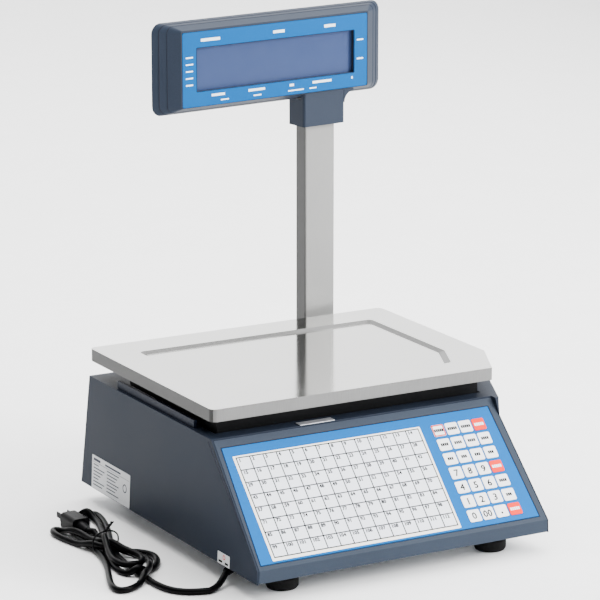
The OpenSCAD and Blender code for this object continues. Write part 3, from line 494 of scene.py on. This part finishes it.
# twist tie round the middle of the bundle, with two twisted ends
tie_y, wire_r, loop_steps, squareness = -4, 0.9, 36, 0.85
end_steps, end_turn, end_r, end_slant, end_rise = 13, 0.9, 1.1, 0.7, 0.8
near = line[np.abs(line[:, 1] - tie_y) < 8]
left, right = near[:, 0].min(), near[:, 0].max()
mid_x, mid_z = (left + right) / 2, (near[:, 2].max() + cord_r) / 2 + 1
reach_x, reach_z = (right - left) / 2 + cord_r + 1, mid_z - wire_r
tie_curve = tube_curve("cord_tie", wire_r, 3, black)
loop = []
for k in range(loop_steps):
    across, up = math.cos(k * 2 * math.pi / loop_steps), math.sin(k * 2 * math.pi / loop_steps)
    loop.append((mid_x + reach_x * math.copysign(abs(across) ** squareness, across), tie_y + 2 * across,
                 mid_z + reach_z * math.copysign(abs(up) ** squareness, up)))
strand(tie_curve, loop, closed=True)
for side in (-1, 1):
    twist = [k * end_turn + side * math.pi / 2 for k in range(end_steps)]
    strand(tie_curve, [(mid_x + end_slant * k + end_r * math.cos(angle), tie_y + end_r * math.sin(angle),
                        2 * mid_z - wire_r + end_rise * k) for k, angle in enumerate(twist)])
tie = add(bpy.data.objects.new("cord_tie", tie_curve))
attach(tie, "base")

# ---- rounded outer parts ----
house = shell("housing", 1.6, 3, paint)
house.data.materials.append(navy)
guards_z = (ledge_z + 0.2) / 1000
for face in house.data.polygons:
    if face.center.z > guards_z:
        face.material_index = 1
shell("front_bezel", 1.1, 3, bezel_paint)
upright, level, faces_left = 0.2, 0.97, -0.7
pan = shell("pan", 1.0, 3, steel)
for surface in (skirt, bend_painted_shade, skirt_painted_shade):
    pan.data.materials.append(surface)
for face in pan.data.polygons:
    if abs(face.normal.z) < upright:
        # upright faces get the skirt, and those facing left its darker copy, a painted shade
        face.material_index = 3 if face.normal.x < faces_left else 1
    # sloped faces, such as the recess's bends, get the darker steel, a painted shade
    elif abs(face.normal.z) < level:
        face.material_index = 2
shell("printer_door", 0.7, 2, paint)
shell("column_bracket", 1.2, 3, paint)
tube = shell("column_tube", 0.5, 2, column)
tube.data.materials.append(column_painted_shade)
for face in tube.data.polygons:
    # faces of the column that face left get the darker copy, a painted shade
    if face.normal.x < faces_left:
        face.material_index = 1
shell("head_front", 1.0, 3, head_paint)
shell("head_rear", 1.4, 3, head_paint)
for corner in range(1, 5):
    shell("foot_%d" % corner, 0.8, 2, rubber)
shell("cord_plug", 0.8, 2, black)
shell("pan_carrier", 0.8, 2, carrier_black)

# ---- price look-up sheet and the keypad film's outline ----
sheet_box = (-157.9, -149.0, 71.9, -23.4)
sheet_z, cell_z, line_z, number_z = (0.02, 0.22), (0.2, 0.26), (0.2, 0.28), 0.3
put("plu_sheet", slab(rounded(*sheet_box, 1.2), *sheet_z), sheet_cream, PANEL, "base")
cols, rows = 14, 8
grid_left, grid_right, grid_top, grid_foot = -154.4, 68.8, -25.8, -145.0
cell_w, cell_h = (grid_right - grid_left) / cols, (grid_top - grid_foot) / rows
half_line, cell_gap = 0.6, 0.65
number_size, number_x, number_y = 5.6, 1.6, 5.2
cells = []
cell_numbers = []
for r in range(rows):
    for c in range(cols):
        x, y = grid_left + c * cell_w, grid_top - r * cell_h
        cells.append((x + cell_gap, y - cell_h + cell_gap, x + cell_w - cell_gap, y - cell_gap, *cell_z))
        cell_numbers.append((str(r * cols + c + 1), x + number_x, y - number_y))
put("plu_cells", boxes(cells), cell_tint, PANEL, "base")
grid = [(x - half_line, grid_foot - half_line, x + half_line, grid_top + half_line, *line_z)
        for x in (grid_left + c * cell_w for c in range(cols + 1))]
grid += [(grid_left, y - half_line, grid_right, y + half_line, *line_z)
         for y in (grid_top - r * cell_h for r in range(rows + 1))]
put("plu_grid", boxes(grid), ink, PANEL, "base")
put("plu_numbers", numbers("numbers", number_size, 0.55, number_z, cell_numbers), ink, PANEL, "base")

film = [(-167, -11.5), (164.7, -11.5), (170.2, -152), (-173.5, -152)]
film_rim = 0.7
film_middle = -80
inside = [(x - math.copysign(film_rim, x), y - math.copysign(film_rim, y - film_middle)) for x, y in film]
put("keypad_outline", ring(film, inside, 0.02, 0.12), film_edge, PANEL, "base")

# ---- what is printed on the keys ----
key_x, key_y, key_step_x, key_step_y = 92.7, -31.8, 17.2, 17.7   # the first key and the spacing
key_top, print_top = 0.5, 0.55
digit_size, digit_half_w, digit_half_h = 11, 3.1, 3.9
block_w, block_step = 2.0, 2.4
red_keys = ((1, 4), (4, 4), (7, 4))
legends = {(4 + r, 1 + c): str(7 - 3 * r + c) for r in range(3) for c in range(3)}
legends.update({(7, 1): "0", (7, 2): "00"})
point_key = (7, 3)


def key_middle(r, c):
    """The middle of the key in row r and column c, counted from 1 at the top left."""
    return key_x + (c - 1) * key_step_x, key_y - (r - 1) * key_step_y


for (r, c), text in legends.items():
    x, y = key_middle(r, c)
    digit_at = (text, x - digit_half_w * len(text), y - digit_half_h)
    digit = numbers("digit", digit_size, 0.5, 0.54, [digit_at])
    put("digit_%d_%d" % (r, c), digit, ink, PANEL, "b_key_%d_%d" % (r, c))
for r in range(1, 8):
    for c in range(1, 5):
        if (r, c) in legends:
            continue
        x, y = key_middle(r, c)
        if (r, c) == point_key:
            mark = slab(rounded(x - 1.2, y - 3.4, x + 1.2, y - 1.0, 1.1), key_top, print_top)
        else:
            # three to five blocks stand for a word
            count = 3 + (r * 5 + c * 3) % 3
            starts = [x - count * block_step / 2 + 0.2 + block_step * k for k in range(count)]
            mark = boxes([(at, y - 1.6, at + block_w, y + 1.8, key_top, print_top) for at in starts])
        put("mark_%d_%d" % (r, c), mark, ink_white if (r, c) in red_keys else ink, PANEL,
            "b_key_%d_%d" % (r, c))
key_box = (key_x - 7.4, key_y - 6.9, key_x + 7.4, key_y + 6.9)
put("key_ring_1_1", ring(rounded(*key_box, 1.6), rounded(*key_box, 1.0, -1.3), key_top, key_top + 0.06),
    ink_red, PANEL, "b_key_1_1")

# ---- display's film, window edge and marks ----
head_box = (-198, 444.4, 59.5, 529.2)
window_box = (-178.7, 461.5, 40.8, 510.5)
film_outline, window_outline = rounded(*head_box, 2.0), rounded(*window_box, 1.0)
put("head_film", ring(film_outline, window_outline, -0.78, 0.1), head_blue, FACE, "display")
head_edge = ring(rounded(*head_box, 2.2, 0.2), film_outline, -0.7, 0.25)
put("head_film_edge", head_edge, film_edge, FACE, "display")
window_edge = ring(rounded(*window_box, 1.4, 0.7), window_outline, 0.1, 0.2)
put("window_edge", window_edge, film_edge, FACE, "display")
printed = (0.1, 0.16)


def row(foot, top, blocks):
    """Blocks printed in one row, each given by its middle and its width."""
    return [(x - w / 2, foot, x + w / 2, top, *printed) for x, w in blocks]


marks = row(454.2, 457.0, ((-150, 18), (-97, 23), (-48, 6), (-5, 27), (38, 2)))
marks += row(448.4, 449.9, ((-141, 11), (-96, 11), (-42, 22), (-18, 10)))
marks += [(-193.5, y, -184, y + 1.6, *printed) for y in (500 - 7.8 * k for k in range(5))]
marks += [(45, y, 54, y + 1.8, *printed) for y in (498, 476)]
marks += row(517.5, 520.8, ((-160, 26), (-66, 16), (6, 16)))
put("head_marks", boxes(marks), ink_white, FACE, "display")


def head_ring(name, depth, width, height, corner):
    """A dark seam line around the head, depth millimetres behind its face."""
    x, y = (head_box[0] + head_box[2]) / 2, (head_box[1] + head_box[3]) / 2 + 1
    box = (x - width / 2, y - height / 2, x + width / 2, y + height / 2)
    put(name, ring(rounded(*box, corner, 0.15), rounded(*box, corner - 1, -1), -depth - 0.4, -depth + 0.4),
        film_edge, FACE, "display")


head_ring("head_seam", 8.5, 287.5, 97.8, 8)
head_ring("head_groove", 13, 303.5, 101.5, 10)

# ---- seam between the bezel and the left wall ----
seam = (-178.3, -157.4, -177.5, -1.5, -2.2, -0.25)
put("bezel_seam", boxes([seam]), film_edge, PANEL, "base")

# ---- plates and labels; blocks stand for their wording ----
label_z = (0.03, 0.2)
mark_z = (0.2, 0.25)


def round_mark(x, y, r, wall):
    """A printed circle of radius r around x, y."""
    box = (x - r, y - r, x + r, y + r)
    return ring(rounded(*box, r), rounded(*box, r - wall, -wall), *mark_z)


put("name_plate", slab(rounded(-67, ledge_y, -24, -109.5, 1.2), ledge_z + 0.02, ledge_z + 0.7), plate_metal,
    BODY, "base")
put("rating_label", slab(rounded(-160, 0.6, -64.5, 39, 0.8), *label_z), label_grey, LEFT, "base")
wording = [(-156, 33.2, -139, 36.2, *mark_z), (-127, 33.6, -88, 35.6, *mark_z),
           (-158, 31.4, -67, 31.8, *mark_z)]
for k in range(7):
    y = 28.2 - 3.9 * k
    wording.append((-156, y, -143 + 5 * ((k * 3) % 4), y + 1.3, *mark_z))
    wording.append((-122, y, -92 - 4 * (k % 3), y + 1.3, *mark_z))
put("rating_marks", boxes(wording), ink_grey, LEFT, "base")
put("rating_ring", round_mark(-77, 20.5, 5, 1.4), ink_grey, LEFT, "base")
put("switch_label", slab(rounded(143.6, 0.3, 170, 13, 0.8), *label_z), label_grey, LEFT, "base")
put("switch_ring", round_mark(157.7, 8.9, 2.7, 1.0), ink_red, LEFT, "base")
put("switch_marks", boxes([(146, 2, 154, 4.4, *mark_z), (160, 2, 167, 4.4, *mark_z)]), ink, LEFT, "base")

# ---- fillet between the display's neck and the head ----
fillet_r, neck_x, head_foot, overlap = 13, 29.2, 440, 2.5
fillet = [(neck_x + fillet_r - fillet_r * math.cos(math.radians(angle)),
           head_foot - fillet_r + fillet_r * math.sin(math.radians(angle))) for angle in range(0, 91, 9)]
fillet += [(neck_x + fillet_r, head_foot + overlap), (neck_x - 0.7, head_foot + overlap),
           (neck_x - 0.7, head_foot - fillet_r)]
put("neck_blend", slab(fillet[::-1], -14, -2.3), head_paint, FACE, "display")

# ---- stage ----
floor_half = 6
floor_mesh = mesh_of("floor", [(-floor_half, -floor_half, 0), (floor_half, -floor_half, 0),
                               (floor_half, floor_half, 0), (-floor_half, floor_half, 0)], [(0, 1, 2, 3)])
floor_mesh.materials.append(floor_white)
stage_things = [add(bpy.data.objects.new("floor", floor_mesh))]
lamp_aim = Vector((0, 0, 0.2))


def area(name, location, size, energy):
    """A rectangular lamp that faces the object."""
    lamp = bpy.data.lights.new(name, "AREA")
    lamp.shape = "RECTANGLE"
    lamp.size, lamp.size_y = size
    lamp.energy = energy
    obj = add(bpy.data.objects.new(name, lamp))
    obj.location = location
    obj.rotation_euler = (lamp_aim - Vector(location)).to_track_quat("-Z", "Y").to_euler()
    stage_things.append(obj)


area("key_right", (2.3, -1.7, 1.5), (1.4, 1.4), 250)
area("top", (0.7, 0.8, 3.2), (5.0, 5.0), 520)
area("back_card", (0.8, 4.6, 1.3), (5.0, 2.4), 90)

# the studio is darker on the left
world = bpy.data.worlds.new("studio")
world.use_nodes = True
studio = world.node_tree
background = studio.nodes["Background"]
background.inputs["Color"].default_value = (1, 1, 1, 1)
direction = studio.nodes.new("ShaderNodeTexCoord")
split = studio.nodes.new("ShaderNodeSeparateXYZ")
fall = studio.nodes.new("ShaderNodeMapRange")
for socket, value in (("From Min", -0.9), ("From Max", 0.3), ("To Min", 0.25), ("To Max", 0.85)):
    fall.inputs[socket].default_value = value
studio.links.new(direction.outputs["Generated"], split.inputs["Vector"])
studio.links.new(split.outputs["X"], fall.inputs["Value"])
studio.links.new(fall.outputs["Result"], background.inputs["Strength"])
bpy.context.scene.world = world
